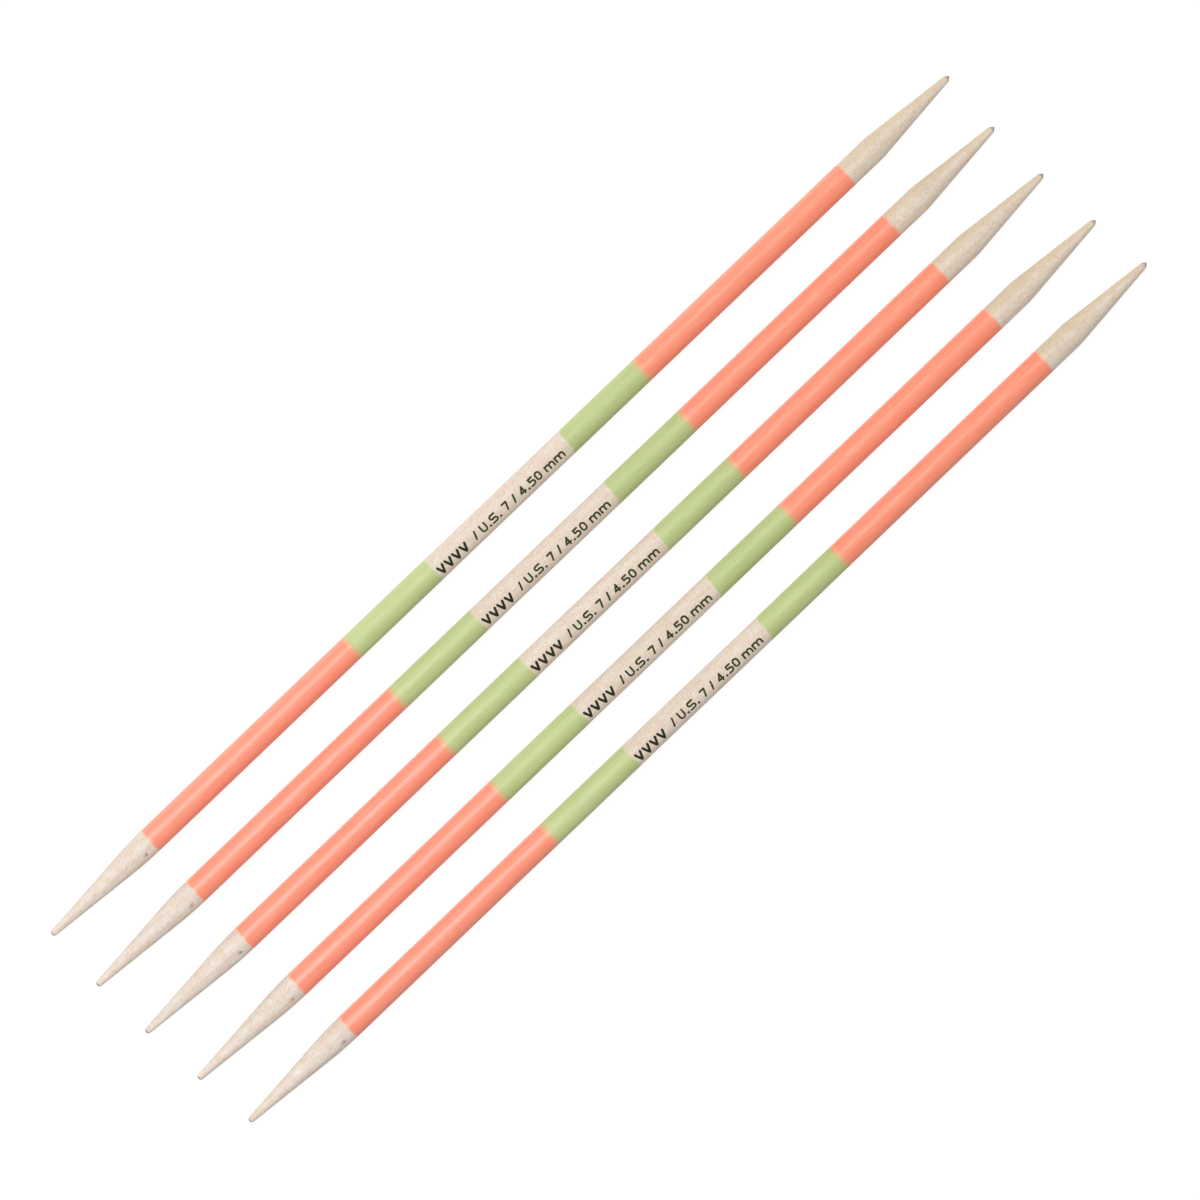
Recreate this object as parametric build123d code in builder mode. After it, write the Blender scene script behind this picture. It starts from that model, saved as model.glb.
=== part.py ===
from build123d import *
from math import cos, radians, sin, tan
import os

# A set of five double-pointed knitting needles, size 4.50 mm, lying side by side on a table.
#
# Each needle is one turned birch dowel with a point ground on both ends. Two coats of green
# lacquer flank the bare middle, where the size is printed, and two longer coats of coral
# lacquer run on from them to just short of the points. The lacquer stands proud of the wood,
# and the print is a thin film of ink on it.
#
# Millimetres. X runs along the needles, Y across the set and +Z is up. The origin is on the
# table, under the middle of the box around the set.

# ---- one needle ---------------------------------------------------------------------------
NEEDLE_LENGTH = 203.2        # 8 in, nose to nose
NEEDLE_DIAMETER = 4.50       # over the lacquer, the diameter that the stitches take
LACQUER_THICKNESS = 0.018    # one sprayed coat, dry
LIP_RADIUS = 0.012           # the rounded edge where a coat ends on bare wood

SHAFT_RADIUS = NEEDLE_DIAMETER / 2
WOOD_RADIUS = SHAFT_RADIUS - LACQUER_THICKNESS

# Where the coats end, measured along the needle from its middle. They were masked by eye, so
# the two halves are a little unlike.
BARE_MIDDLE = (-15.2, 15.2)
GREEN_OUTER = (-33.6, 31.9)
CORAL_OUTER = (-79.4, 78.6)

# The two points. Each starts from a round nose and opens as one or two cones, given as
# (half-angle in degrees, radius where that cone ends). The last cone runs into the shaft
# through a round shoulder, so its end radius is the wood's own.
LEFT_NOSE_RADIUS = 0.58
LEFT_CONES = [(5.0, WOOD_RADIUS)]
LEFT_SHOULDER_RADIUS = 65.0
RIGHT_NOSE_RADIUS = 0.18
RIGHT_CONES = [(40.0, 0.59), (5.75, WOOD_RADIUS)]
RIGHT_SHOULDER_RADIUS = 15.0

# ---- the print on the bare middle ---------------------------------------------------------
INK_THICKNESS = 0.010
CAP_HEIGHT = 1.32            # of a stroke's centre line, as all the sizes below
LOWER_CASE_HEIGHT = 0.90
STITCH_HEIGHT = 1.40
LETTER_GAP = 0.26            # between the inked outlines of two letters
WORD_SPACE = 0.88

# Each line of print: its glyphs, the width of their strokes, where it starts along the needle,
# and how far round the needle its middle lies, in degrees from the top.
SIZE_LINE = ("/ U.S. 7 / 4.50 mm", 0.28, -6.7, 20.5)
STITCH_LINE = ("VVVV", 0.40, -14.8, 29.0)

# The strokes of each glyph, drawn with a round pen: straight ones as two points, curved ones
# as the points of a path and the radius of its corners. V is a knit stitch.
GLYPHS = {
    "/": [((0, 0), (0.45, CAP_HEIGHT))],
    ".": [((0.10, 0), (0.15, 0))],
    "U": [([(0, CAP_HEIGHT), (0, 0), (0.97, 0), (0.97, CAP_HEIGHT)], 0.46)],
    "S": [([(1.07, CAP_HEIGHT), (0, CAP_HEIGHT), (0, 0.68), (1.10, 0.68), (1.10, 0), (0, 0)], 0.31)],
    "7": [((0, CAP_HEIGHT), (0.88, CAP_HEIGHT)), ((0.88, CAP_HEIGHT), (0.36, 0))],
    "4": [((0.96, 0.36), (0, 0.36)), ((0, 0.36), (0.70, CAP_HEIGHT)), ((0.70, CAP_HEIGHT), (0.70, 0))],
    "5": [((0.86, CAP_HEIGHT), (0.08, CAP_HEIGHT)), ((0.08, CAP_HEIGHT), (0.08, 0.80)),
          ([(0.08, 0.80), (0.92, 0.80), (0.92, 0), (0, 0)], 0.38)],
    "0": [([(0.43, CAP_HEIGHT), (0, CAP_HEIGHT), (0, 0), (0.43, 0)], 0.42),
          ([(0.43, CAP_HEIGHT), (0.86, CAP_HEIGHT), (0.86, 0), (0.43, 0)], 0.42)],
    "m": [((0, 0), (0, LOWER_CASE_HEIGHT)),
          ([(0, 0.50), (0, LOWER_CASE_HEIGHT), (0.85, LOWER_CASE_HEIGHT), (0.85, 0)], 0.34),
          ([(0.85, 0.50), (0.85, LOWER_CASE_HEIGHT), (1.70, LOWER_CASE_HEIGHT), (1.70, 0)], 0.34)],
    "V": [((0, STITCH_HEIGHT), (0.52, 0)), ((0.52, 0), (1.04, STITCH_HEIGHT))],
}

# ---- the set ------------------------------------------------------------------------------
# The middle of each needle, (along, across), as the five were laid down by hand.
LAY = [(-0.93, 22.2), (-1.32, 11.1), (-0.84, 0.0), (0.10, -11.4), (1.32, -22.2)]


def end_points(nose_radius, cones, shoulder_radius):
    """The outline of a point with its tip at 0, as (distance from the tip, radius) pairs:
    where the nose meets the first cone, each step between cones, then where the shoulder's
    arc starts and ends."""
    first_angle = radians(cones[0][0])
    at = nose_radius * (1 - sin(first_angle))
    radius = nose_radius * cos(first_angle)
    points = [(at, radius)]
    for angle, end_radius in cones[:-1]:
        at += (end_radius - radius) / tan(radians(angle))
        radius = end_radius
        points.append((at, radius))
    last_angle = radians(cones[-1][0])
    arc_start_radius = WOOD_RADIUS - shoulder_radius * (1 - cos(last_angle))
    at += (arc_start_radius - radius) / tan(last_angle)
    points.append((at, arc_start_radius))
    points.append((at + shoulder_radius * sin(last_angle), WOOD_RADIUS))
    return points


def needle_plane(middle):
    """The upright plane through a needle's axis: its own x runs along the needle."""
    along, across = middle
    return Plane((along, across, SHAFT_RADIUS), x_dir=(1, 0, 0), z_dir=(0, -1, 0))


def needle_axis(middle):
    along, across = middle
    return Axis((along, across, SHAFT_RADIUS), (1, 0, 0))


def turned_dowel(middle):
    """The wooden blank, bare at both points and in the middle: half its outline, revolved."""
    left_tip, right_tip = -NEEDLE_LENGTH / 2, NEEDLE_LENGTH / 2
    left = [(left_tip + at, radius)
            for at, radius in end_points(LEFT_NOSE_RADIUS, LEFT_CONES, LEFT_SHOULDER_RADIUS)]
    right = [(right_tip - at, radius)
             for at, radius in end_points(RIGHT_NOSE_RADIUS, RIGHT_CONES, RIGHT_SHOULDER_RADIUS)]
    left_nose_arc = 90 - LEFT_CONES[0][0]
    right_nose_arc = 90 - RIGHT_CONES[0][0]
    with BuildPart() as dowel:
        with BuildSketch(needle_plane(middle)):
            with BuildLine():
                CenterArc((left_tip + LEFT_NOSE_RADIUS, 0), LEFT_NOSE_RADIUS, 180, -left_nose_arc)
                Polyline(*left[:-1])
                RadiusArc(left[-2], left[-1], LEFT_SHOULDER_RADIUS)
                Line(left[-1], right[-1])
                RadiusArc(right[-1], right[-2], RIGHT_SHOULDER_RADIUS)
                Polyline(*right[:-1])
                CenterArc((right_tip - RIGHT_NOSE_RADIUS, 0), RIGHT_NOSE_RADIUS, 0, right_nose_arc)
                Line((right_tip, 0), (left_tip, 0))
            make_face()
        revolve(axis=needle_axis(middle))
    return dowel


def lacquer_coat(middle, bare_end, joined_end):
    """A sleeve of lacquer on the dowel. Its rim is rounded at the end that lies on bare wood,
    and square at the end where it meets the other colour."""
    with BuildPart() as coat:
        with BuildSketch(needle_plane(middle)):
            with Locations(((bare_end + joined_end) / 2, WOOD_RADIUS)):
                Rectangle(abs(joined_end - bare_end), LACQUER_THICKNESS, align=(Align.CENTER, Align.MIN))
        revolve(axis=needle_axis(middle))
        rims = coat.edges().filter_by(GeomType.CIRCLE)
        outer_rims = rims.filter_by(lambda rim: rim.radius > (WOOD_RADIUS + SHAFT_RADIUS) / 2)
        by_distance = outer_rims.sort_by(lambda rim: abs(rim.center().X - middle[0] - bare_end))
        fillet(by_distance[0], LIP_RADIUS)
    return coat


def line_of_print(text, stroke_width, start):
    """One line of print in the open sketch: each glyph's strokes, laid from left to right."""
    pen = start + stroke_width / 2
    for glyph in text:
        if glyph == " ":
            pen += WORD_SPACE - LETTER_GAP
            continue
        right_edge = 0
        for first, second in GLYPHS[glyph]:
            with BuildLine() as stroke:
                if isinstance(first, list):
                    FilletPolyline(*first, radius=second)
                else:
                    Line(first, second)
            with Locations((pen, -CAP_HEIGHT / 2)):
                SlotArc(stroke.wire(), stroke_width)
            right_edge = max(right_edge, stroke.wire().bounding_box().max.X)
        pen += right_edge + stroke_width + LETTER_GAP


def size_print(middle):
    """The inked size mark: each line is drawn on a plane that touches the needle, cut down
    into it, and kept only within the film of ink on the wood."""
    along, across = middle
    with BuildPart() as ink:
        for text, stroke_width, start, around in (SIZE_LINE, STITCH_LINE):
            outward = (0, -sin(radians(around)), cos(radians(around)))
            on_axis = Plane((along, across, SHAFT_RADIUS), x_dir=(1, 0, 0), z_dir=outward)
            with BuildSketch(on_axis.offset(SHAFT_RADIUS)):
                line_of_print(text, stroke_width, start)
            extrude(amount=-SHAFT_RADIUS / 4)
        with BuildSketch(needle_plane(middle)):
            with Locations((0, -WOOD_RADIUS)):
                Rectangle(BARE_MIDDLE[1] - BARE_MIDDLE[0], INK_THICKNESS, align=(Align.CENTER, Align.MAX))
        revolve(axis=needle_axis(middle), mode=Mode.INTERSECT)
    return ink


# Each coat, from its rim on bare wood to where it meets the other colour.
COATS = {
    "coral_lacquer_left": (CORAL_OUTER[0], GREEN_OUTER[0]),
    "green_lacquer_left": (BARE_MIDDLE[0], GREEN_OUTER[0]),
    "green_lacquer_right": (BARE_MIDDLE[1], GREEN_OUTER[1]),
    "coral_lacquer_right": (CORAL_OUTER[1], GREEN_OUTER[1]),
}

os.makedirs("parts", exist_ok=True)

for number, middle in enumerate(LAY, start=1):
    dowel = turned_dowel(middle)
    dowel.part.label = f"needle_{number}_dowel"
    export_step(dowel.part, f"parts/{dowel.part.label}.step")
    for coat_name, (bare_end, joined_end) in COATS.items():
        coat = lacquer_coat(middle, bare_end, joined_end)
        coat.part.label = f"needle_{number}_{coat_name}"
        export_step(coat.part, f"parts/{coat.part.label}.step")
    ink = size_print(middle)
    ink.part.label = f"needle_{number}_size_print"
    export_step(ink.part, f"parts/{ink.part.label}.step")
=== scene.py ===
import math
import bpy
import numpy as np
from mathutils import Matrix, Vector


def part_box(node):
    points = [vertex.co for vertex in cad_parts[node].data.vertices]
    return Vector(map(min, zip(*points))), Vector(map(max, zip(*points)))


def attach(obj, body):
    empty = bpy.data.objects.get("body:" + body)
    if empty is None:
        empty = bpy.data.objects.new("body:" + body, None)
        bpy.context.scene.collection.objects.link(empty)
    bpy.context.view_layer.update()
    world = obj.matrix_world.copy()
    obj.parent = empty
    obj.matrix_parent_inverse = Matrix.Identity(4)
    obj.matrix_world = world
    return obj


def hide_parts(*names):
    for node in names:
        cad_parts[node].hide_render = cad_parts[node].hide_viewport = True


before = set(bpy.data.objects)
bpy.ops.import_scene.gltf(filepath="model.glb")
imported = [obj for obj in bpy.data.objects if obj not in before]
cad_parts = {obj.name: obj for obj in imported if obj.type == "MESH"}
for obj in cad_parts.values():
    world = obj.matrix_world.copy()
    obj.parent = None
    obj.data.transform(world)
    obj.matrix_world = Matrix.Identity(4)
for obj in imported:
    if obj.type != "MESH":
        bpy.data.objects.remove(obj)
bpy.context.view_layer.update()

# Five double-pointed knitting needles, each a turned birch dowel with two coats of coral lacquer
# and two of green around a bare middle, where the size is printed.
#
# Everything is in metres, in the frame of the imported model. X runs along the needles. A place on
# a needle is given by its distance along it from the needle's middle, and by its angle round it,
# from the top and towards -Y.

MM = 0.001
NEEDLES = range(1, 6)
RING_POINTS = 96                 # in each ring of a dowel or a coat
SHARP_EDGE = math.radians(50)    # faces that meet at more than this are shaded as an edge

# ---- the dowel: its two points, as they were ground -----------------------------------------
# Each point starts from a round nose and opens as one or two cones, (half-angle, radius at its
# end), and runs into the shaft through a round shoulder.
SHAFT_RADIUS = 2.25 * MM
WOOD_RADIUS = 2.232 * MM
LEFT_POINT = {"nose": 0.58 * MM, "cones": [(5.0, WOOD_RADIUS)], "shoulder": 65.0 * MM}
RIGHT_POINT = {"nose": 0.18 * MM, "cones": [(40.0, 0.59 * MM), (5.75, WOOD_RADIUS)], "shoulder": 15.0 * MM}
BEVEL_SOFTNESS = 0.03 * MM       # how far the two cones of the right point run into each other
POINT_LENGTH = 26 * MM           # the stretch behind each tip that is finely ringed
POINT_RINGS, SHAFT_RINGS = 110, 240
POINT_CROWDING = 2.2             # the more, the closer the rings lie to the tip
OVALNESS, OVAL_TWIST = 0.018, 9 * MM     # of the radius; the length in which the oval turns by a radian
LUMPINESS, LUMP_LENGTH = 0.012, 7 * MM   # of the radius; the length of a lump
GREY_LEFT, GREY_RIGHT, GREY_REACH = 0.38, 0.22, 1.0 * MM   # grey at the tips, from handling and as painted shade on the noses, and how far it reaches

# ---- the lacquer ----------------------------------------------------------------------------
# Each coat: its rim on bare wood, where it meets the other colour, how far the rim leans from
# side to side, and how far it wanders, all along the needle.
COATS = {
    "coral_lacquer_left": {"rim": -79.4 * MM, "join": -33.6 * MM, "lean": 0.05 * MM, "wander": 0.10 * MM},
    "green_lacquer_left": {"rim": -15.0 * MM, "join": -33.6 * MM, "lean": -0.10 * MM, "wander": 0.14 * MM},
    "green_lacquer_right": {"rim": 14.85 * MM, "join": 32.0 * MM, "lean": 0.28 * MM, "wander": 0.26 * MM},
    "coral_lacquer_right": {"rim": 78.45 * MM, "join": 32.0 * MM, "lean": 0.06 * MM, "wander": 0.12 * MM},
}
LEAN_ANGLE = math.radians(-70)   # the side of the needle towards which a rim leans
FINE_WANDER = 0.3                # of the wander, again in shorter waves
COAT_RINGS, LIP_RINGS, UNDER_RINGS = 90, 6, 5
COAT_CROWDING = 1.6              # the more, the closer the rings lie to the rim
SAG, SAG_LENGTH = 0.002 * MM, 9 * MM     # how much the film thins over the wood's unevenness

# ---- the print on the bare middle -----------------------------------------------------------
# Millimetres, except where MM is written. A glyph's sizes are on its strokes' centre lines.
INK_THICKNESS = 0.010 * MM
CAP_HEIGHT = 1.32
LOWER_CASE_HEIGHT = 0.90
STITCH_HEIGHT = 1.40
LETTER_GAP = 0.20
WORD_SPACE = 0.82
INK_GRID = 0.045                 # the spacing of the grid that the ink is cut from
INK_FROM, INK_TO = -15.0, 13.9   # the stretch of the needle that the grid covers
INK_ANGLES = (math.radians(-6), math.radians(58))
INK_RAGGEDNESS = 0.018           # how far the ink's edge wanders
RAGGED_LENGTH, RAGGED_TURNS = 0.6 * MM, 9    # the waves' length, and how many times more turns they take
# Each line of print: its glyphs, the width of their strokes, where it starts along the needle,
# and the angle of its middle.
PRINT_LINES = [
    ("/ U.S. 7 / 4.50 mm", 0.33, -6.73, 20.5),
    ("VVVV", 0.44, -14.8, 29.0),
]
# The strokes of each glyph: the points of a path, and the radius of its corners. V is a stitch.
GLYPHS = {
    "/": [([(0, 0), (0.45, CAP_HEIGHT)], 0)],
    ".": [([(0.05, 0), (0.15, 0), (0.15, 0.10), (0.05, 0.10), (0.05, 0)], 0)],
    "U": [([(0, CAP_HEIGHT), (0, 0), (0.97, 0), (0.97, CAP_HEIGHT)], 0.46)],
    "S": [([(1.07, CAP_HEIGHT), (0, CAP_HEIGHT), (0, 0.68), (1.10, 0.68), (1.10, 0), (0, 0)], 0.31)],
    "7": [([(0, CAP_HEIGHT), (0.88, CAP_HEIGHT), (0.36, 0)], 0)],
    "4": [([(0.96, 0.36), (0, 0.36), (0.70, CAP_HEIGHT), (0.70, 0)], 0)],
    "5": [([(0.86, CAP_HEIGHT), (0.08, CAP_HEIGHT), (0.08, 0.80)], 0),
          ([(0.08, 0.80), (0.92, 0.80), (0.92, 0), (0, 0)], 0.38)],
    "0": [([(0.43, CAP_HEIGHT), (0, CAP_HEIGHT), (0, 0), (0.43, 0)], 0.42),
          ([(0.43, CAP_HEIGHT), (0.86, CAP_HEIGHT), (0.86, 0), (0.43, 0)], 0.42)],
    "m": [([(0, 0), (0, LOWER_CASE_HEIGHT)], 0),
          ([(0, 0.50), (0, LOWER_CASE_HEIGHT), (0.85, LOWER_CASE_HEIGHT), (0.85, 0)], 0.34),
          ([(0.85, 0.50), (0.85, LOWER_CASE_HEIGHT), (1.70, LOWER_CASE_HEIGHT), (1.70, 0)], 0.34)],
    "V": [([(0, STITCH_HEIGHT), (0.52, 0), (1.04, STITCH_HEIGHT)], 0)],
}
FAR_FROM_INK = 9.0               # farther than the ink's edge is from any of its letters
ARC_STEPS = 13                   # points on each rounded corner of a stroke
SAG_SEED, INK_SEED = 40, 70      # of a coat's sag and the ink's edge; the needle's number is added

# ---- colours, and the sizes of marks in the materials ---------------------------------------
CHALK_BIRCH, WHITE_BIRCH, PINK_BIRCH = "#F2EBE4", "#E4DFD6", "#E6CFC8"
STRAW_BIRCH, HEART_AND_DIMMED_BIRCH, RIM_BIRCH = "#E0CCA6", "#D4C1A2", "#DFCCB4"
LATE_WOOD, PORE_BROWN, KNOT_BROWN, END_GRAIN_AND_SHADE_GREY = "#C4AF98", "#A2825F", "#6E5637", "#8C8676"
# the paler colours are thin film and the lit left of the set; the deeper ones are thick film and painted
# dimming of the light towards the right
CORAL_THIN_AND_LIT, CORAL_THICK_AND_DIM = "#FE8969", "#FB8560"
GREEN_THIN_AND_LIT, GREEN_THICK_AND_DIM = "#BAC783", "#ABBA72"
INK_THIN, INK_THICK = "#4F602D", "#20220E"
OPAL_DARK, OPAL_PALE, WHITE = "#7A7A79", "#808080", "#FFFFFF"
# A place in the unrolled wood is in millimetres along the needle from its middle, and round it
# from its top, towards -Y.
RING_SPACING_MM, RING_WAVER = 1.7, 9.0   # the waver is in radians of the rings' sine
PITH_FROM_SET = (0.0, 0.031, 0.022)      # added to a place in the set, it gives the way from the pith
SCRATCH_SLANT = math.radians(42)
SCRATCH_MM = (0.8, 0.14)                 # length and width
KNOT_AT_MM, KNOT_MM = (-81.3, 1.35), (0.62, 0.42)
HEART_BAND_MM = -1.75                    # round the needle
OVERSPRAY_MM = 0.85                      # how far each colour drifts over the other
THICKENS_AND_DIMS_OVER = 160 * MM                 # the length in which a coat goes from thin to thick, and from lit to dim: painted dimming of the light towards the right
AFTER_STITCHES_MM = (-8.5, -7.5)         # the gap between the stitches and the size

# ---- the table, the light and the camera: their numbers -------------------------------------
TABLE_GLOW = 0.86
TABLE_HALF_SIDE = 3.0
SOFTBOX_AT, SOFTBOX_SIZE, SOFTBOX_POWER = (-0.38, 0.31, 1.10), (0.80, 0.80), 9.4
ROOM_LIGHT_SHADED, ROOM_LIGHT_LIT = 0.50, 0.66       # on the -Y side and the +Y side
TABLE_BOUNCE, BOUNCE_FROM = 0.72, (0.0, 0.80, -0.60)   # from the table on the +Y side
SET_MIDDLE = (0.146 * MM, -0.239 * MM)
CAMERA_HEIGHT = 1.0933
SCREEN_TURN = math.radians(-43.74)       # the needles rise to the right at this angle
FOCAL_LENGTH, SENSOR_WIDTH = 200, 36
NEAREST, FURTHEST = 0.05, 20


# ---- meshes ---------------------------------------------------------------------------------

def new_piece(name, points, faces, material, maps=None, attributes=None):
    """An object from an array of points and a list of face arrays, one for each number of
    corners. maps holds a UV map's name and its value at each corner of each face, and attributes
    hold one number for each point."""
    mesh = bpy.data.meshes.new(name)
    corners = np.concatenate([part.ravel() for part in faces])
    sizes = np.concatenate([np.full(len(part), part.shape[1]) for part in faces])
    mesh.vertices.add(len(points))
    mesh.vertices.foreach_set("co", points.astype(np.float32).ravel())
    mesh.loops.add(len(corners))
    mesh.loops.foreach_set("vertex_index", corners.astype(np.int32))
    mesh.polygons.add(len(sizes))
    mesh.polygons.foreach_set("loop_start", (np.cumsum(sizes) - sizes).astype(np.int32))
    mesh.update(calc_edges=True)
    mesh.shade_smooth()
    mesh.set_sharp_from_angle(angle=SHARP_EDGE)
    for map_name, values in (maps or {}).items():
        mesh.uv_layers.new(name=map_name).data.foreach_set("uv", values.astype(np.float32).ravel())
    for attribute_name, values in (attributes or {}).items():
        attribute = mesh.attributes.new(attribute_name, "FLOAT", "POINT")
        attribute.data.foreach_set("value", values.astype(np.float32).ravel())
    mesh.materials.append(material)
    piece = bpy.data.objects.new(name, mesh)
    bpy.context.scene.collection.objects.link(piece)
    return piece


def ring_faces(rows, columns, closed_rows=False):
    """The quads of a grid of points that closes on itself across its columns, and along its rows
    too if closed_rows is set, and the column number of each corner, counted past the seam."""
    row = np.arange(rows if closed_rows else rows - 1)[:, None]
    column = np.arange(columns)[None, :]
    above = (row + 1) % rows
    beside = (column + 1) % columns
    quads = np.stack([row * columns + column, row * columns + beside,
                      above * columns + beside, above * columns + column], axis=-1)
    corner_columns = np.broadcast_to(np.stack([column, column + 1, column + 1, column], axis=-1), quads.shape)
    return quads.reshape(-1, 4), corner_columns.reshape(-1, 4)


def on_needle(needle, along, angle, radius):
    """Points at these distances along a needle, angles round it and radii, as one array."""
    along, angle, radius = np.broadcast_arrays(along, angle, radius)
    return np.stack([needle["middle"] + along,
                     needle["across"] - radius * np.sin(angle),
                     needle["height"] + radius * np.cos(angle)], axis=-1)


def round_the_needle(columns):
    """Angles all the way round, evenly spaced, with their seam underneath."""
    return -math.pi + 2 * math.pi * np.arange(columns) / columns


def uneven(along, angle, wavelength, seed):
    """A slow unevenness between -1 and 1: the mean of eight waves that run along and round the
    needle at random, each with a whole number of turns round it."""
    random = np.random.default_rng(seed)
    waves, total = 8, 0
    for _ in range(waves):
        turns = random.integers(-3, 4)
        pitch = wavelength * random.uniform(0.7, 1.6)
        total = total + np.sin(2 * math.pi * along / pitch + turns * angle + random.uniform(0, 2 * math.pi))
    return total / waves


# ---- the dowel ------------------------------------------------------------------------------

def point_radius(from_tip, point):
    """The radius of a point at a distance from its tip: a ball at the nose, then one or two
    cones that the nose's ball is tangent to, and an arc tangent to the last cone and the shaft."""
    nose = point["nose"]
    angle = math.radians(point["cones"][0][0])
    start = nose_end = nose * (1 - math.sin(angle))
    start_radius = nose * math.cos(angle)
    ball = np.sqrt(np.clip(from_tip * (2 * nose - from_tip), 0, None))
    surface = None
    for half_angle, end_radius in point["cones"]:
        slope = math.tan(math.radians(half_angle))
        cone = start_radius + (from_tip - start) * slope
        surface = cone if surface is None else softly_least(surface, cone, BEVEL_SOFTNESS)
        start_of_last, radius_of_last = start, start_radius
        start, start_radius = start + (end_radius - start_radius) / slope, end_radius
    lean = math.atan(slope)
    arc_radius = point["shoulder"]
    tangent_radius = WOOD_RADIUS - arc_radius * (1 - math.cos(lean))
    arc_start = start_of_last + (tangent_radius - radius_of_last) / slope
    arc_end = arc_start + arc_radius * math.sin(lean)
    arc = WOOD_RADIUS - arc_radius + np.sqrt(np.clip(arc_radius ** 2 - (arc_end - from_tip) ** 2, 0, None))
    return np.select([from_tip < nose_end, from_tip < arc_start, from_tip < arc_end],
                     [ball, surface, arc], WOOD_RADIUS)


def softly_least(first, second, softness):
    """The lesser of two values, rounded over where they are about the same."""
    return (first + second - np.sqrt((first - second) ** 2 + softness ** 2)) / 2


def wood_radius(along, half):
    """The dowel's radius at a distance along it: the lesser of what its two points leave."""
    return np.minimum(point_radius(along + half, LEFT_POINT), point_radius(half - along, RIGHT_POINT))


def turned_dowel(needle, material):
    """The birch blank, with both points ground on it. Its rings follow wood_radius, and lie close
    together on the noses, at a power of their share of the point's length. The points are a
    little oval and lumpy, in proportion to their taper, as a grinder leaves them. A fan of
    triangles closes each tip."""
    number = needle["number"]
    half = needle["length"] / 2
    from_tip = POINT_LENGTH * np.linspace(0, 1, POINT_RINGS)[1:] ** POINT_CROWDING
    shaft = np.linspace(-half + POINT_LENGTH, half - POINT_LENGTH, SHAFT_RINGS)[1:-1]
    along = np.concatenate([-half + from_tip, shaft, (half - from_tip)[::-1]])
    radius = wood_radius(along, half)
    along_grid, angle_grid = np.meshgrid(along, round_the_needle(RING_POINTS), indexing="ij")
    taper = (1 - radius / WOOD_RADIUS)[:, None]
    out_of_round = OVALNESS * taper * (np.cos(2 * angle_grid + along_grid / OVAL_TWIST) - 1)
    out_of_round += LUMPINESS * taper * (uneven(along_grid, angle_grid, LUMP_LENGTH, number) - 1)
    grid = on_needle(needle, along_grid, angle_grid, radius[:, None] * (1 + out_of_round))
    tips = on_needle(needle, np.array([-half, half]), 0.0, 0.0)

    rows, columns = grid.shape[:2]
    quads, quad_columns = ring_faces(rows, columns)
    column = np.arange(columns)
    beside = (column + 1) % columns
    first_tip, last_tip, last_row = rows * columns, rows * columns + 1, (rows - 1) * columns
    left_fan = np.stack([np.full(columns, first_tip), beside, column], axis=-1)
    right_fan = np.stack([np.full(columns, last_tip), last_row + column, last_row + beside], axis=-1)

    # how far the surface faces along the needle, where the fibres' cut ends show, and the grey at the tips;
    # both grey the wood partly as end grain and handling, partly as painted shade on the steep faces and
    # noses
    slope = np.gradient(radius, along)
    facing_end = np.abs(slope) / np.sqrt(1 + slope ** 2)
    handling_and_shade = np.where(along < 0, GREY_LEFT, GREY_RIGHT) * np.exp((np.abs(along) - half) / GREY_REACH)
    end_grain_and_shade = np.concatenate([np.repeat(np.minimum(facing_end + handling_and_shade, 1), columns), [1.0, 1.0]])

    # the unrolled map: millimetres along the needle, and round it from its top
    distance_along = np.concatenate([np.repeat(along, columns), [-half, half]]) / MM
    arc_of_column = (-math.pi + 2 * math.pi * np.arange(columns + 1) / columns) * WOOD_RADIUS / MM
    unrolled = [np.stack([distance_along[faces], arc_of_column[face_columns]], axis=-1).reshape(-1, 2)
                for faces, face_columns in (
                    (quads, quad_columns),
                    (left_fan, np.stack([column, column + 1, column], axis=-1)),
                    (right_fan, np.stack([column, column, column + 1], axis=-1)))]
    return new_piece(f"needle_{number}_turned_dowel", np.concatenate([grid.reshape(-1, 3), tips]),
                     [quads, np.concatenate([left_fan, right_fan])], material,
                     maps={"unrolled_mm": np.concatenate(unrolled)},
                     attributes={"end_grain_and_shade": end_grain_and_shade})


# ---- the lacquer ----------------------------------------------------------------------------

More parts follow.
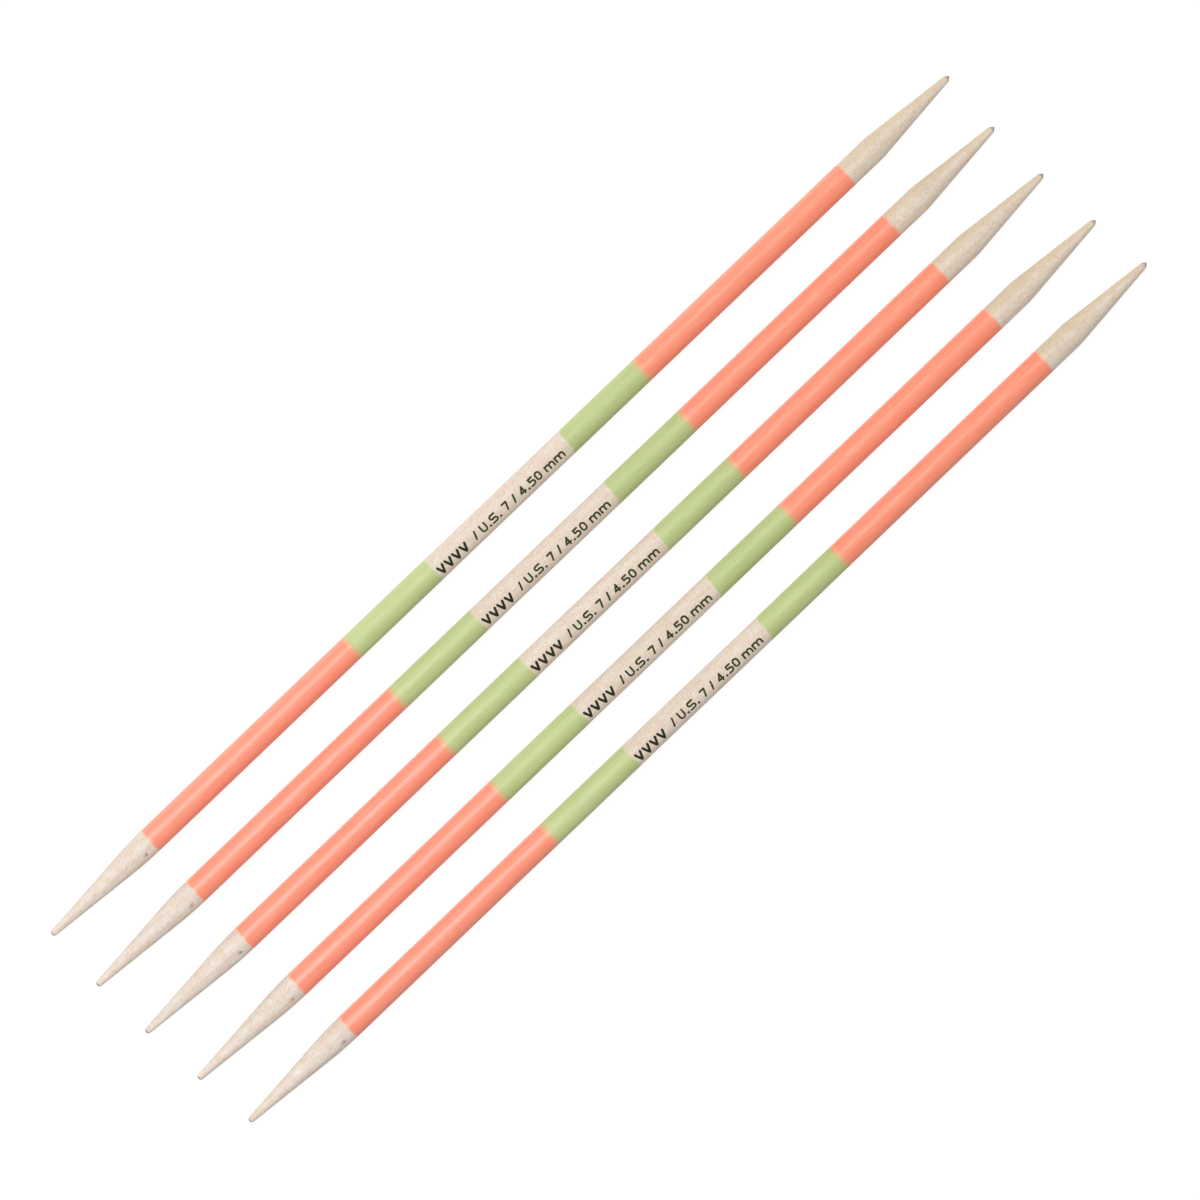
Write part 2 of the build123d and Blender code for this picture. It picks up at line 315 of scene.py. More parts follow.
def lacquer_coat(needle, coat, material):
    """A closed sleeve of lacquer. Its section is a thin strip: along the outside from the join
    to the rim, over a quarter-round lip, and back underneath. Each ring of the strip slides
    along the needle with the rim, which leans as a cosine of the angle and wanders."""
    number, place = needle["number"], COATS[coat]
    thickness = SHAFT_RADIUS - WOOD_RADIUS
    angle = round_the_needle(RING_POINTS)
    length = abs(place["rim"] - place["join"])
    outward = math.copysign(1, place["rim"] - place["join"])
    top = 1 - np.linspace(1, 0, COAT_RINGS) ** COAT_CROWDING
    lip = np.linspace(0, math.pi / 2, LIP_RINGS + 1)[1:]
    share = np.concatenate([top * (1 - thickness / length), 1 - thickness * (1 - np.sin(lip)) / length,
                            np.linspace(1, 0, UNDER_RINGS + 1)[1:]])[:, None]
    height = np.concatenate([np.full(COAT_RINGS, 1.0), np.cos(lip), np.zeros(UNDER_RINGS)])[:, None]
    rim = place["rim"] + place["lean"] * np.cos(angle - LEAN_ANGLE) \
        + place["wander"] * uneven(0 * angle, 2 * angle, 1.0, seed_of(coat)) \
        + FINE_WANDER * place["wander"] * uneven(0 * angle, 5 * angle, 1.0, seed_of(coat) + number)
    along_grid = place["join"] + share * (rim[None, :] - place["join"])
    sag = SAG * (1 - uneven(along_grid, angle[None, :], SAG_LENGTH, SAG_SEED + number))
    radius = wood_radius(along_grid, needle["length"] / 2) + height * (thickness - sag)
    quads, _ = ring_faces(len(share), RING_POINTS, closed_rows=True)
    from_join = (along_grid - place["join"]) * outward / MM
    return new_piece(f"needle_{number}_{coat}_coat",
                     on_needle(needle, along_grid, angle[None, :], radius).reshape(-1, 3),
                     [quads if outward > 0 else quads[:, ::-1]], material,
                     attributes={"past_join_mm": from_join if coat.startswith("coral") else -from_join,
                                 "from_rim_mm": (rim[None, :] - along_grid) * outward / MM})


def seed_of(word):
    """A seed from a word, the same each run: the sum of its letters' codes, each times its place."""
    return sum(ord(letter) * (place + 1) for place, letter in enumerate(word))


# ---- the print ------------------------------------------------------------------------------

def rounded_path(points, corner_radius):
    """A path of straight runs, as points, with an arc of that radius at each corner."""
    points = [np.array(point, float) for point in points]
    path = [points[0]]
    for before, corner, after in zip(points, points[1:], points[2:]):
        if not corner_radius:
            path.append(corner)
            continue
        run_in = (before - corner) / np.linalg.norm(before - corner)
        run_out = (after - corner) / np.linalg.norm(after - corner)
        half_turn = math.acos(np.clip(run_in @ run_out, -1, 1)) / 2
        bisector = (run_in + run_out) / np.linalg.norm(run_in + run_out)
        centre = corner + bisector * corner_radius / math.sin(half_turn)
        first = corner + run_in * corner_radius / math.tan(half_turn) - centre
        last = corner + run_out * corner_radius / math.tan(half_turn) - centre
        sweep = math.atan2(first[0] * last[1] - first[1] * last[0], first @ last)
        for turn in sweep * np.linspace(0, 1, ARC_STEPS):
            path.append(centre + np.array([first[0] * math.cos(turn) - first[1] * math.sin(turn),
                                           first[0] * math.sin(turn) + first[1] * math.cos(turn)]))
    return np.array(path + [points[-1]])


def ink_distance(along, angle):
    """How far each place, in millimetres along and radians round, is outside the inked strokes,
    negative within them: the distance to the nearest run of a stroke, less half its width."""
    distance = np.full(along.shape, FAR_FROM_INK)
    for text, width, start, middle_angle in PRINT_LINES:
        up = -WOOD_RADIUS / MM * np.sin(angle - math.radians(middle_angle)) + CAP_HEIGHT / 2
        pen = start + width / 2
        for glyph in text:
            if glyph == " ":
                pen += WORD_SPACE - LETTER_GAP
                continue
            right_edge = 0
            for points, corner_radius in GLYPHS[glyph]:
                path = rounded_path(points, corner_radius)
                right_edge = max(right_edge, path[:, 0].max())
                for (x0, y0), (x1, y1) in zip(path, path[1:]):
                    run_x, run_y = x1 - x0, y1 - y0
                    from_x, from_y = along - pen - x0, up - y0
                    share = (from_x * run_x + from_y * run_y) / max(run_x ** 2 + run_y ** 2, 1e-9)
                    share = np.clip(share, 0, 1)
                    reach = np.hypot(from_x - share * run_x, from_y - share * run_y) - width / 2
                    distance = np.minimum(distance, reach)
            pen += right_edge + width + LETTER_GAP
    return distance


def size_print(needle, material):
    """The inked letters, as a film on the wood. A fine grid is laid over the bare middle. Each of
    its cells that the ink's edge passes through gets its point on the edge, at the mean of where
    the edge crosses the cell's sides; the others have theirs in their middle. Each grid place
    within the ink makes a quad of the four cells round it."""
    number = needle["number"]
    along = np.arange(INK_FROM, INK_TO, INK_GRID)
    angle = np.arange(*INK_ANGLES, INK_GRID / (WOOD_RADIUS / MM))
    along_grid, angle_grid = np.meshgrid(along, angle, indexing="ij")
    distance = ink_distance(along_grid, angle_grid)
    distance += INK_RAGGEDNESS * uneven(along_grid * MM, angle_grid * RAGGED_TURNS,
                                        RAGGED_LENGTH, INK_SEED + number)
    inked = distance < 0

    corner = [distance[:-1, :-1], distance[1:, :-1], distance[1:, 1:], distance[:-1, 1:]]
    corner_place = [(0, 0), (1, 0), (1, 1), (0, 1)]
    crossings = np.zeros(corner[0].shape)
    sum_along, sum_angle = np.zeros_like(crossings), np.zeros_like(crossings)
    for here, there in ((0, 1), (1, 2), (2, 3), (3, 0)):
        crossed = (corner[here] < 0) != (corner[there] < 0)
        gap = corner[here] - corner[there]
        part = np.where(crossed, corner[here] / np.where(crossed, gap, 1), 0)
        (i0, j0), (i1, j1) = corner_place[here], corner_place[there]
        sum_along += crossed * (i0 + part * (i1 - i0))
        sum_angle += crossed * (j0 + part * (j1 - j0))
        crossings += crossed
    cell_along = np.where(crossings > 0, sum_along / np.maximum(crossings, 1), 0.5)
    cell_angle = np.where(crossings > 0, sum_angle / np.maximum(crossings, 1), 0.5)
    rows, columns = cell_along.shape
    cell_along = along[:-1, None] + cell_along * INK_GRID
    cell_angle = angle[None, :-1] + cell_angle * (angle[1] - angle[0])

    # the outer skin, the same skin on the wood, and a wall along each edge of the ink
    inner = inked[1:-1, 1:-1]
    cell = np.arange(rows * columns).reshape(rows, columns)
    here, right, above, both = cell[:-1, :-1], cell[1:, :-1], cell[:-1, 1:], cell[1:, 1:]
    skin = np.stack([here, above, both, right], axis=-1)[inner]
    below = rows * columns
    walls = []
    for shift, (first, second) in {(-1, 0): (above, here), (1, 0): (right, both),
                                   (0, -1): (here, right), (0, 1): (both, above)}.items():
        bare_beside = ~np.roll(inked, (-shift[0], -shift[1]), axis=(0, 1))[1:-1, 1:-1]
        edge = inner & bare_beside
        walls.append(np.stack([first[edge], second[edge],
                               second[edge] + below, first[edge] + below], axis=-1))
    faces = np.concatenate([skin, skin[:, ::-1] + below] + walls)
    points = np.concatenate([on_needle(needle, cell_along.ravel() * MM, cell_angle.ravel(), level)
                             for level in (WOOD_RADIUS + INK_THICKNESS, WOOD_RADIUS)])
    used, faces = np.unique(faces, return_inverse=True)
    return new_piece(f"needle_{number}_ink_film", points[used], [faces.reshape(-1, 4)], material,
                     attributes={"along_mm": np.tile(cell_along.ravel(), 2)[used]})


# ---- materials ------------------------------------------------------------------------------

def colour(hex_code):
    """An sRGB hex colour as linear red, green, blue and alpha."""
    channels = [int(hex_code[start:start + 2], 16) / 255 for start in (1, 3, 5)]
    return [c / 12.92 if c <= 0.04045 else ((c + 0.055) / 1.055) ** 2.4 for c in channels] + [1.0]


def add(tree, kind, inputs=None, output=0, **settings):
    """Adds one node with its settings, and gives back one of its outputs. Each input is named,
    or numbered where names repeat, and is a value, a hex colour or another node's output."""
    node = tree.nodes.new(kind)
    for name, value in settings.items():
        setattr(node, name, value)
    live = [socket for socket in node.inputs if socket.enabled]
    for key, value in (inputs or {}).items():
        socket = live[key] if isinstance(key, int) else next(s for s in live if s.name == key)
        if isinstance(value, bpy.types.NodeSocket):
            tree.links.new(value, socket)
        else:
            socket.default_value = colour(value) if isinstance(value, str) else value
    given = [socket for socket in node.outputs if socket.enabled]
    if not given:
        return None
    return given[output] if isinstance(output, int) else next(s for s in given if s.name == output)


def per_mm(along, across):
    """The Mapping scale that makes one unit of a pattern this many millimetres along a needle,
    and this many across it."""
    return [1 / (size * MM) for size in (along, across, across)]


def new_material(name):
    """An empty material and its node tree."""
    material = bpy.data.materials.new(name)
    material.use_nodes = True
    material.node_tree.nodes.clear()
    return material, material.node_tree


def sanded_birch():
    """Bleached birch dowel, ground and sanded, under a thin clear seal. Its growth rings are
    faint, as birch's are. What the eye sees is a cloudy mottle of white, pink and straw, short
    fibre flecks along the needle, and the slanting scratches of the sanding belt. The right point
    has a band of heartwood on one side, and its other side is painted paler, as painted fill
    light. The left point is painted grey along its +Y edge, as painted shade. The rings are 1.7 mm
    apart. The flecks and scratches, 0.05 mm or finer, are drawn 0.14 to 0.27 mm across so that
    they show. Each mark is a share between 0 and 1, and at the end each share in turn mixes its
    tint into the wood."""
    material, tree = new_material("birch_dowel_sanded_and_sealed")
    place = add(tree, "ShaderNodeTexCoord", output="Object")
    unrolled = add(tree, "ShaderNodeUVMap", uv_map="unrolled_mm")
    along = add(tree, "ShaderNodeSeparateXYZ", {"Vector": place}, output="X")
    arc = add(tree, "ShaderNodeSeparateXYZ", {"Vector": unrolled}, output="Y")

    # the mottle: clouds of pink and white, small dark and pale specks, and patches of straw
    cloud = add(tree, "ShaderNodeMapping", {"Vector": place, "Scale": per_mm(2.6, 1.4)})
    cloud = add(tree, "ShaderNodeTexNoise", {"Vector": cloud, "Scale": 1.0, "Detail": 4.0, "Roughness": 0.62})
    cloud = add(tree, "ShaderNodeMapRange", {"Value": cloud, "From Min": 0.36, "From Max": 0.64},
                interpolation_type="SMOOTHSTEP")
    speck = add(tree, "ShaderNodeMapping", {"Vector": place, "Scale": per_mm(0.42, 0.27)})
    speck = add(tree, "ShaderNodeTexNoise", {"Vector": speck, "Scale": 1.0, "Detail": 2.0, "Roughness": 0.6})
    dark_speck = add(tree, "ShaderNodeMapRange", {"Value": speck, "From Min": 0.50, "From Max": 0.30,
                                                  "To Max": 0.30})
    pale_speck = add(tree, "ShaderNodeMapRange", {"Value": speck, "From Min": 0.50, "From Max": 0.70,
                                                  "To Max": 0.24})
    straw = add(tree, "ShaderNodeMapping", {"Vector": place, "Location": (3.0, 7.0, 1.0),
                                            "Scale": per_mm(1.5, 0.8)})
    straw = add(tree, "ShaderNodeTexNoise", {"Vector": straw, "Scale": 1.0, "Detail": 4.0, "Roughness": 0.65})
    straw = add(tree, "ShaderNodeMapRange", {"Value": straw, "From Min": 0.44, "From Max": 0.66,
                                             "To Max": 0.62}, interpolation_type="SMOOTHSTEP")

    # the wood yellows a little towards the right point: partly its own tone, partly painted dimming and
    # warming of the light at that end
    yellowing_and_dimming = add(tree, "ShaderNodeMapRange", {"Value": along, "From Min": -95 * MM, "From Max": 95 * MM,
                                                 "To Min": 0.0, "To Max": 0.40})

    # a straw-coloured band of heartwood along the +Y side of the right point
    band = add(tree, "ShaderNodeMath", {0: arc, 1: HEART_BAND_MM}, operation="SUBTRACT")
    band = add(tree, "ShaderNodeMath", {0: band}, operation="ABSOLUTE")
    band = add(tree, "ShaderNodeMath", {0: cloud, 1: 0.5, 2: band}, operation="MULTIPLY_ADD")
    band = add(tree, "ShaderNodeMapRange", {"Value": band, "From Min": 0.7, "From Max": 1.9, "To Min": 0.85,
                                            "To Max": 0.0}, interpolation_type="SMOOTHSTEP")
    rightward = add(tree, "ShaderNodeMapRange", {"Value": along, "From Min": 40 * MM, "From Max": 85 * MM})
    band = add(tree, "ShaderNodeMath", {0: band, 1: rightward}, operation="MULTIPLY")

    # painted shade: the +Y edge of the left point is greyed, a darker edge where the light falls off
    painted_edge_shade = add(tree, "ShaderNodeMapRange", {"Value": arc, "From Min": -0.4, "From Max": -2.6,
                                             "To Max": 0.14})
    leftward = add(tree, "ShaderNodeMapRange", {"Value": along, "From Min": -60 * MM, "From Max": -82 * MM})
    painted_edge_shade = add(tree, "ShaderNodeMath", {0: painted_edge_shade, 1: leftward}, operation="MULTIPLY")

    # painted fill light: the -Y side of the right point is painted paler, as if lit from the right
    painted_fill_light = add(tree, "ShaderNodeMapRange", {"Value": arc, "From Min": 1.7, "From Max": 2.7,
                                               "To Max": 0.42})
    rightmost = add(tree, "ShaderNodeMapRange", {"Value": along, "From Min": 70 * MM, "From Max": 82 * MM})
    painted_fill_light = add(tree, "ShaderNodeMath", {0: painted_fill_light, 1: rightmost}, operation="MULTIPLY")

    # growth rings, about a pith that runs 38 mm to one side of the set
    from_pith = add(tree, "ShaderNodeMapping", {"Vector": place, "Location": PITH_FROM_SET,
                                                "Scale": (0.0, 1.0, 1.0)})
    from_pith = add(tree, "ShaderNodeVectorMath", {"Vector": from_pith}, output="Value", operation="LENGTH")
    ring_wave = add(tree, "ShaderNodeMapping", {"Vector": place, "Scale": per_mm(30.0, 3.0)})
    ring_wave = add(tree, "ShaderNodeTexNoise", {"Vector": ring_wave, "Scale": 1.0, "Detail": 2.0})
    ring = add(tree, "ShaderNodeMath", {0: from_pith, 1: 2 * math.pi / (RING_SPACING_MM * MM)},
               operation="MULTIPLY")
    ring = add(tree, "ShaderNodeMath", {0: ring_wave, 1: RING_WAVER, 2: ring}, operation="MULTIPLY_ADD")
    ring = add(tree, "ShaderNodeMath", {0: ring}, operation="SINE")
    ring = add(tree, "ShaderNodeMapRange", {"Value": ring, "From Min": 0.2, "From Max": 1.0, "To Max": 0.20},
               interpolation_type="SMOOTHSTEP")

    # fibres: long dark streaks, and short brown flecks of open pores
    fibre = add(tree, "ShaderNodeMapping", {"Vector": place, "Scale": per_mm(3.6, 0.20)})
    fibre = add(tree, "ShaderNodeTexNoise", {"Vector": fibre, "Scale": 1.0, "Detail": 3.0, "Roughness": 0.6})
    streak = add(tree, "ShaderNodeMapRange", {"Value": fibre, "From Min": 0.32, "From Max": 0.68,
                                              "To Min": 0.0, "To Max": 0.22})
    pore = add(tree, "ShaderNodeMapping", {"Vector": place, "Scale": per_mm(1.1, 0.15)})
    pore = add(tree, "ShaderNodeTexNoise", {"Vector": pore, "Scale": 1.0, "Detail": 1.0})
    pore = add(tree, "ShaderNodeMapRange", {"Value": pore, "From Min": 0.62, "From Max": 0.76,
                                            "To Max": 0.45}, interpolation_type="SMOOTHSTEP")

    # sanding scratches, which slant across the fibres as the dowel turns against the belt
    scratch = add(tree, "ShaderNodeMapping", {"Vector": unrolled, "Rotation": (0.0, 0.0, SCRATCH_SLANT)})
    scratch = add(tree, "ShaderNodeMapping", {"Vector": scratch,
                                              "Scale": (1 / SCRATCH_MM[0], 1 / SCRATCH_MM[1], 1.0)})
    scratch = add(tree, "ShaderNodeTexNoise", {"Vector": scratch, "Scale": 1.0, "Detail": 2.0})
    pale_scratch = add(tree, "ShaderNodeMapRange", {"Value": scratch, "From Min": 0.50, "From Max": 0.68,
                                                    "To Max": 0.27})
    dark_scratch = add(tree, "ShaderNodeMapRange", {"Value": scratch, "From Min": 0.48, "From Max": 0.30,
                                                    "To Max": 0.34})

    # a small dark knot near the left coral rim
    knot = add(tree, "ShaderNodeVectorMath", {0: unrolled, 1: (*KNOT_AT_MM, 0.0)}, operation="SUBTRACT")
    knot = add(tree, "ShaderNodeVectorMath", {0: knot, 1: (1 / KNOT_MM[0], 1 / KNOT_MM[1], 0.0)},
               operation="MULTIPLY")
    knot = add(tree, "ShaderNodeVectorMath", {0: knot}, output="Value", operation="LENGTH")
    knot = add(tree, "ShaderNodeMath", {0: speck, 1: 2.6, 2: knot}, operation="MULTIPLY_ADD")
    knot = add(tree, "ShaderNodeMapRange", {"Value": knot, "From Min": 1.2, "From Max": 2.5, "To Min": 0.62,
                                            "To Max": 0.0}, interpolation_type="SMOOTHSTEP")

    # the cut ends of the fibres take up grey from handling; the same grey is painted shade on the steep bevel
    # and along the noses' outline
    cut_end_and_shade = add(tree, "ShaderNodeAttribute", output="Fac", attribute_name="end_grain_and_shade")
    cut_end_and_shade = add(tree, "ShaderNodeMath", {0: fibre, 1: 0.5, 2: cut_end_and_shade}, operation="MULTIPLY_ADD")
    cut_end_and_shade = add(tree, "ShaderNodeMapRange", {"Value": cut_end_and_shade, "From Min": 0.72, "From Max": 1.30,
                                               "To Max": 0.88}, interpolation_type="SMOOTHSTEP")

    wood = add(tree, "ShaderNodeMix", {"Factor": cloud, "A": PINK_BIRCH, "B": WHITE_BIRCH}, data_type="RGBA")
    for share, tint in ((straw, STRAW_BIRCH), (yellowing_and_dimming, HEART_AND_DIMMED_BIRCH), (dark_speck, LATE_WOOD),
                        (pale_speck, CHALK_BIRCH), (band, HEART_AND_DIMMED_BIRCH), (painted_edge_shade, END_GRAIN_AND_SHADE_GREY),
                        (painted_fill_light, CHALK_BIRCH), (ring, LATE_WOOD), (streak, LATE_WOOD), (pore, PORE_BROWN),
                        (pale_scratch, CHALK_BIRCH), (dark_scratch, LATE_WOOD), (knot, KNOT_BROWN),
                        (cut_end_and_shade, END_GRAIN_AND_SHADE_GREY)):
        wood = add(tree, "ShaderNodeMix", {"Factor": share, "A": wood, "B": tint}, data_type="RGBA")

    relief = add(tree, "ShaderNodeMath", {0: scratch, 1: 0.6, 2: fibre}, operation="MULTIPLY_ADD")
    bump = add(tree, "ShaderNodeBump", {"Strength": 0.55, "Distance": 0.02 * MM, "Height": relief})
    rough = add(tree, "ShaderNodeMapRange", {"Value": fibre, "To Min": 0.50, "To Max": 0.68})
    shader = add(tree, "ShaderNodeBsdfPrincipled", {"Base Color": wood, "Roughness": rough, "IOR": 1.45,
                                                    "Specular IOR Level": 0.20, "Normal": bump})
    add(tree, "ShaderNodeOutputMaterial", {"Surface": shader})
    return material


def sprayed_lacquer(name, roughness, shine):
    """Satin nitrocellulose lacquer, sprayed on a turning dowel. It gives an even, slightly milky
    colour with a long soft highlight. The two colours were sprayed up against each other, so
    they mingle over 1.7 mm at their join, and each coat thins over about the last 0.4 mm before
    bare wood. The film dips a little over the fibres under it, and has the faintest orange peel,
    0.5 mm across. The fibres, 0.05 mm or finer, are drawn 0.22 mm across so that they show."""
    material, tree = new_material(name)
    place = add(tree, "ShaderNodeTexCoord", output="Object")
    past_join = add(tree, "ShaderNodeAttribute", output="Fac", attribute_name="past_join_mm")
    from_rim = add(tree, "ShaderNodeAttribute", output="Fac", attribute_name="from_rim_mm")

    # the mist of the spray gun breaks up the join: its half share is 0.25 mm on average
    mist = add(tree, "ShaderNodeMapping", {"Vector": place, "Scale": per_mm(0.5, 0.5)})
    mist = add(tree, "ShaderNodeTexNoise", {"Vector": mist, "Scale": 1.0, "Detail": 3.0})
    coral_share = add(tree, "ShaderNodeMath", {0: mist, 1: 0.5, 2: past_join}, operation="MULTIPLY_ADD")
    coral_share = add(tree, "ShaderNodeMapRange", {"Value": coral_share, "From Min": 0.25 - OVERSPRAY_MM,
                                                   "From Max": 0.25 + OVERSPRAY_MM},
                      interpolation_type="SMOOTHSTEP")

    # the film is a little thicker in places; its colour also deepens towards the right of the set, which is
    # painted dimming of the light
    film = add(tree, "ShaderNodeMapping", {"Vector": place, "Scale": per_mm(14.0, 2.4)})
    film = add(tree, "ShaderNodeTexNoise", {"Vector": film, "Scale": 1.0, "Detail": 3.0})
    thick = add(tree, "ShaderNodeSeparateXYZ", {"Vector": place}, output="X")
    thick = add(tree, "ShaderNodeMath", {0: thick, 1: 1 / THICKENS_AND_DIMS_OVER, 2: film}, operation="MULTIPLY_ADD")
    thick = add(tree, "ShaderNodeMapRange", {"Value": thick, "From Min": 0.1, "From Max": 0.9})
    coral = add(tree, "ShaderNodeMix", {"Factor": thick, "A": CORAL_THIN_AND_LIT, "B": CORAL_THICK_AND_DIM}, data_type="RGBA")
    green = add(tree, "ShaderNodeMix", {"Factor": thick, "A": GREEN_THIN_AND_LIT, "B": GREEN_THICK_AND_DIM}, data_type="RGBA")
    lacquer = add(tree, "ShaderNodeMix", {"Factor": coral_share, "A": green, "B": coral}, data_type="RGBA")

    # fibres under the film show as faint streaks, and the wood shows through at the rim
    fibre = add(tree, "ShaderNodeMapping", {"Vector": place, "Scale": per_mm(4.5, 0.22)})
    fibre = add(tree, "ShaderNodeTexNoise", {"Vector": fibre, "Scale": 1.0, "Detail": 3.0, "Roughness": 0.6})
    streak = add(tree, "ShaderNodeMapRange", {"Value": fibre, "From Min": 0.35, "From Max": 0.7,
                                              "To Max": 0.15})
    thin_rim = add(tree, "ShaderNodeMath", {0: mist, 1: -0.8, 2: from_rim}, operation="MULTIPLY_ADD")
    thin_rim = add(tree, "ShaderNodeMapRange", {"Value": thin_rim, "From Min": -0.45, "From Max": 0.02,
                                                "To Min": 0.70, "To Max": 0.0},
                   interpolation_type="SMOOTHSTEP")
    for share, tint in ((streak, WHITE_BIRCH), (thin_rim, RIM_BIRCH)):
        lacquer = add(tree, "ShaderNodeMix", {"Factor": share, "A": lacquer, "B": tint}, data_type="RGBA")

    relief = add(tree, "ShaderNodeMath", {0: mist, 1: 0.5, 2: fibre}, operation="MULTIPLY_ADD")
    bump = add(tree, "ShaderNodeBump", {"Strength": 0.35, "Distance": 0.008 * MM, "Height": relief})
    rough = add(tree, "ShaderNodeMapRange", {"Value": film, "To Min": roughness - 0.05,
                                             "To Max": roughness + 0.05})
    shader = add(tree, "ShaderNodeBsdfPrincipled", {"Base Color": lacquer, "Roughness": rough, "IOR": 1.5,
                                                    "Specular IOR Level": shine, "Normal": bump})
    add(tree, "ShaderNodeOutputMaterial", {"Surface": shader})
    return material


def pad_printed_ink():
    """Dark green pad-printing ink, dried flat. It is nearly black where it lies thick, as in the
    stitches, and greener and a little broken where the fibres under it kept it off the wood."""
    material, tree = new_material("pad_printed_ink")
    place = add(tree, "ShaderNodeTexCoord", output="Object")
    along = add(tree, "ShaderNodeAttribute", output="Fac", attribute_name="along_mm")
    patch = add(tree, "ShaderNodeMapping", {"Vector": place, "Scale": per_mm(0.5, 0.22)})
    patch = add(tree, "ShaderNodeTexNoise", {"Vector": patch, "Scale": 1.0, "Detail": 3.0, "Roughness": 0.6})
    thin = add(tree, "ShaderNodeMapRange", {"Value": patch, "From Min": 0.40, "From Max": 0.75})
    size_line = add(tree, "ShaderNodeMapRange", {"Value": along, "From Min": AFTER_STITCHES_MM[0],
                                                 "From Max": AFTER_STITCHES_MM[1],
                                                 "To Min": 0.25, "To Max": 1.0})
    thin = add(tree, "ShaderNodeMath", {0: thin, 1: size_line}, operation="MULTIPLY")
    ink = add(tree, "ShaderNodeMix", {"Factor": thin, "A": INK_THICK, "B": INK_THIN}, data_type="RGBA")
    rough = add(tree, "ShaderNodeMapRange", {"Value": patch, "To Min": 0.45, "To Max": 0.65})
    bump = add(tree, "ShaderNodeBump", {"Strength": 0.4, "Distance": 0.01 * MM, "Height": patch})
    shader = add(tree, "ShaderNodeBsdfPrincipled", {"Base Color": ink, "Roughness": rough, "IOR": 1.5,
                                                    "Specular IOR Level": 0.22, "Normal": bump})
    add(tree, "ShaderNodeOutputMaterial", {"Surface": shader})
    return material


def opal_acrylic():
    """The sheet of opal acrylic that the set lies on, which is a light table's top. It glows an
    even white, and keeps only a thin soft shadow where a needle touches it. Its haze is 0.8 mm
    across."""
    material, tree = new_material("opal_acrylic_lit_from_below")
    place = add(tree, "ShaderNodeTexCoord", output="Object")
    haze = add(tree, "ShaderNodeTexNoise", {"Vector": place, "Scale": 1 / (0.8 * MM), "Detail": 3.0})
    opal = add(tree, "ShaderNodeMix", {"Factor": haze, "A": OPAL_DARK, "B": OPAL_PALE}, data_type="RGBA")
    shader = add(tree, "ShaderNodeBsdfPrincipled", {"Base Color": opal, "Roughness": 0.9, "IOR": 1.49,
                                                    "Specular IOR Level": 0.0, "Emission Color": WHITE,
                                                    "Emission Strength": TABLE_GLOW})
    add(tree, "ShaderNodeOutputMaterial", {"Surface": shader})
    return material


# ---- the set --------------------------------------------------------------------------------

birch = sanded_birch()
lacquers = {"coral_lacquer": sprayed_lacquer("coral_lacquer_sprayed_satin", 0.37, 0.85),
            "green_lacquer": sprayed_lacquer("green_lacquer_sprayed_satin", 0.50, 0.70)}
ink = pad_printed_ink()

for number in NEEDLES:
    low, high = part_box(f"needle_{number}_dowel")
    needle = {"number": number, "length": high[0] - low[0], "middle": (low[0] + high[0]) / 2,
              "across": (low[1] + high[1]) / 2, "height": (low[2] + high[2]) / 2}
    body = f"needle_{number}"
    made = [(turned_dowel(needle, birch), "dowel", "birch_wood"),
            (size_print(needle, ink), "size_print", "print_ink")]
    for coat in COATS:
        slot = coat.rsplit("_", 1)[0]
        made.append((lacquer_coat(needle, coat, lacquers[slot]), coat, slot))
    for piece, node, slot in made:
        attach(piece, body)
        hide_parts(f"needle_{number}_{node}")


# ---- the table, the light and the camera ----------------------------------------------------

sheet = bpy.data.meshes.new("opal_sheet")
sheet.from_pydata([(x * TABLE_HALF_SIDE, y * TABLE_HALF_SIDE, 0)
                   for x, y in ((-1, -1), (1, -1), (1, 1), (-1, 1))], [], [(0, 1, 2, 3)])
sheet.materials.append(opal_acrylic())
table = bpy.data.objects.new("light_table_top", sheet)
bpy.context.scene.collection.objects.link(table)
table.visible_diffuse = False            # the needles are lit by the room and the softbox alone
table.visible_glossy = False

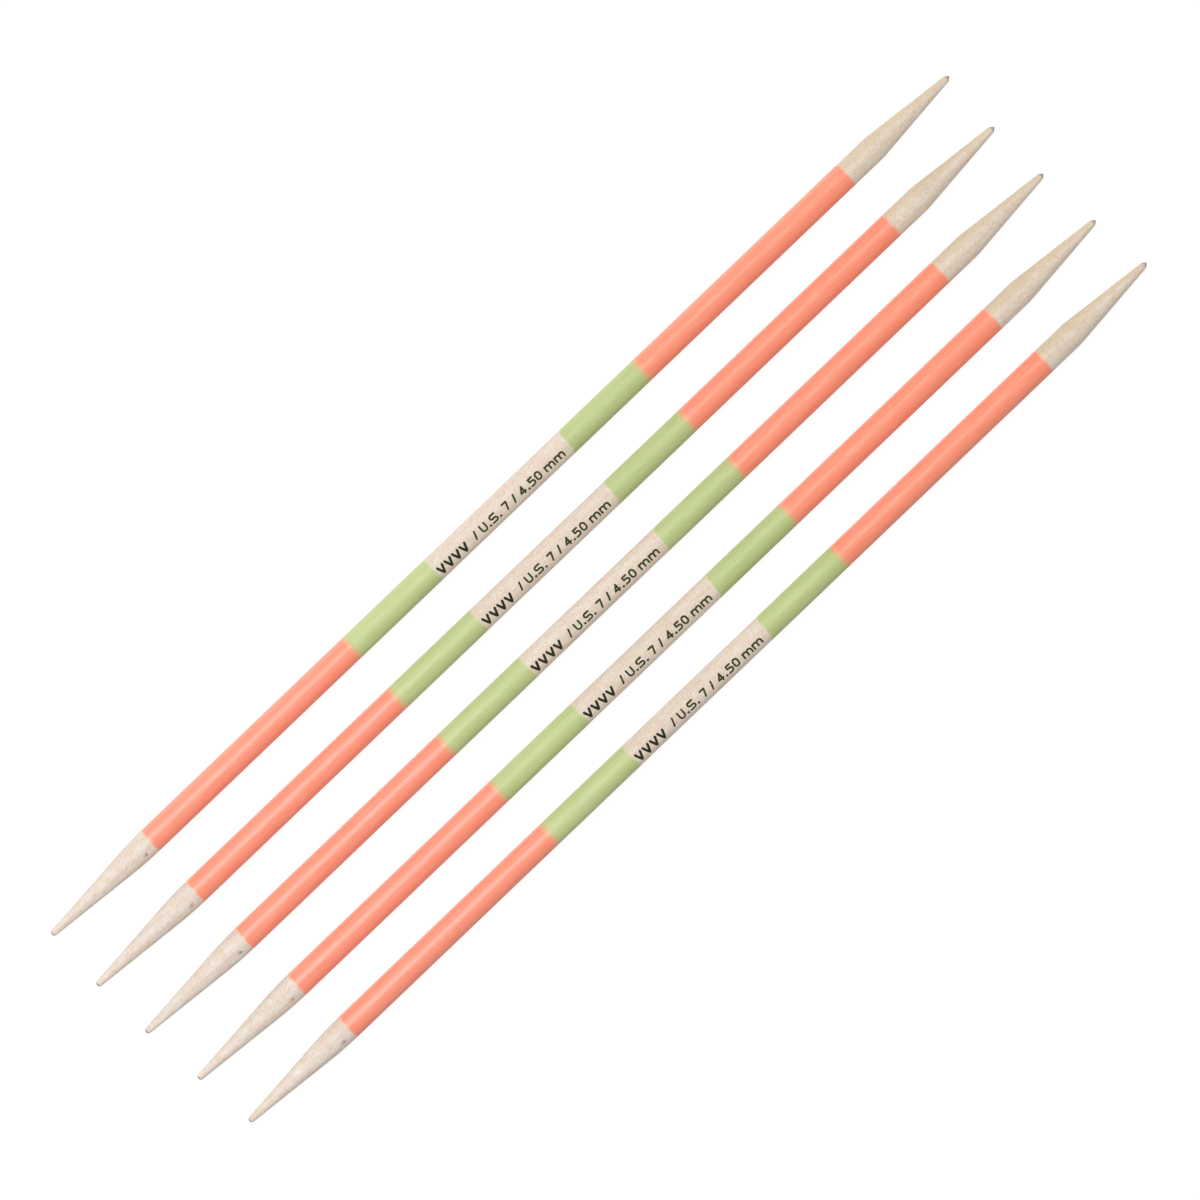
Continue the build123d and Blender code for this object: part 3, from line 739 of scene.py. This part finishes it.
room = bpy.data.worlds.new("pale_room")
room.use_nodes = True
room.node_tree.nodes.clear()
toward = add(room.node_tree, "ShaderNodeTexCoord", output="Generated")
lit_side = add(room.node_tree, "ShaderNodeVectorMath", {0: toward, 1: (0.0, 1.0, 0.0)}, output="Value",
               operation="DOT_PRODUCT")
lit_side = add(room.node_tree, "ShaderNodeMapRange", {"Value": lit_side, "From Min": -1.0, "From Max": 1.0,
                                                      "To Min": ROOM_LIGHT_SHADED, "To Max": ROOM_LIGHT_LIT})
bounce = add(room.node_tree, "ShaderNodeVectorMath", {0: toward, 1: BOUNCE_FROM}, output="Value",
             operation="DOT_PRODUCT")
bounce = add(room.node_tree, "ShaderNodeMapRange", {"Value": bounce, "From Min": 0.2, "From Max": 1.0,
                                                    "To Max": TABLE_BOUNCE}, interpolation_type="SMOOTHSTEP")
room_light = add(room.node_tree, "ShaderNodeMath", {0: lit_side, 1: bounce}, operation="ADD")
room_light = add(room.node_tree, "ShaderNodeBackground", {"Color": WHITE, "Strength": room_light})
add(room.node_tree, "ShaderNodeOutputWorld", {"Surface": room_light})
bpy.context.scene.world = room

softbox = bpy.data.lights.new("softbox", "AREA")
softbox.shape = "RECTANGLE"
softbox.size, softbox.size_y = SOFTBOX_SIZE
softbox.energy = SOFTBOX_POWER
softbox_stand = bpy.data.objects.new("softbox", softbox)
softbox_stand.location = SOFTBOX_AT
softbox_stand.rotation_euler = (-Vector(SOFTBOX_AT)).to_track_quat("-Z", "Y").to_euler()
softbox_stand.visible_camera = False
bpy.context.scene.collection.objects.link(softbox_stand)

lens = bpy.data.cameras.new("camera")
lens.lens, lens.sensor_width = FOCAL_LENGTH, SENSOR_WIDTH
lens.clip_start, lens.clip_end = NEAREST, FURTHEST
camera = bpy.data.objects.new("camera", lens)
camera.location = (*SET_MIDDLE, CAMERA_HEIGHT)
camera.rotation_euler = (0, 0, SCREEN_TURN)
bpy.context.scene.collection.objects.link(camera)
bpy.context.scene.camera = camera
bpy.context.scene.view_settings.view_transform = "Standard"
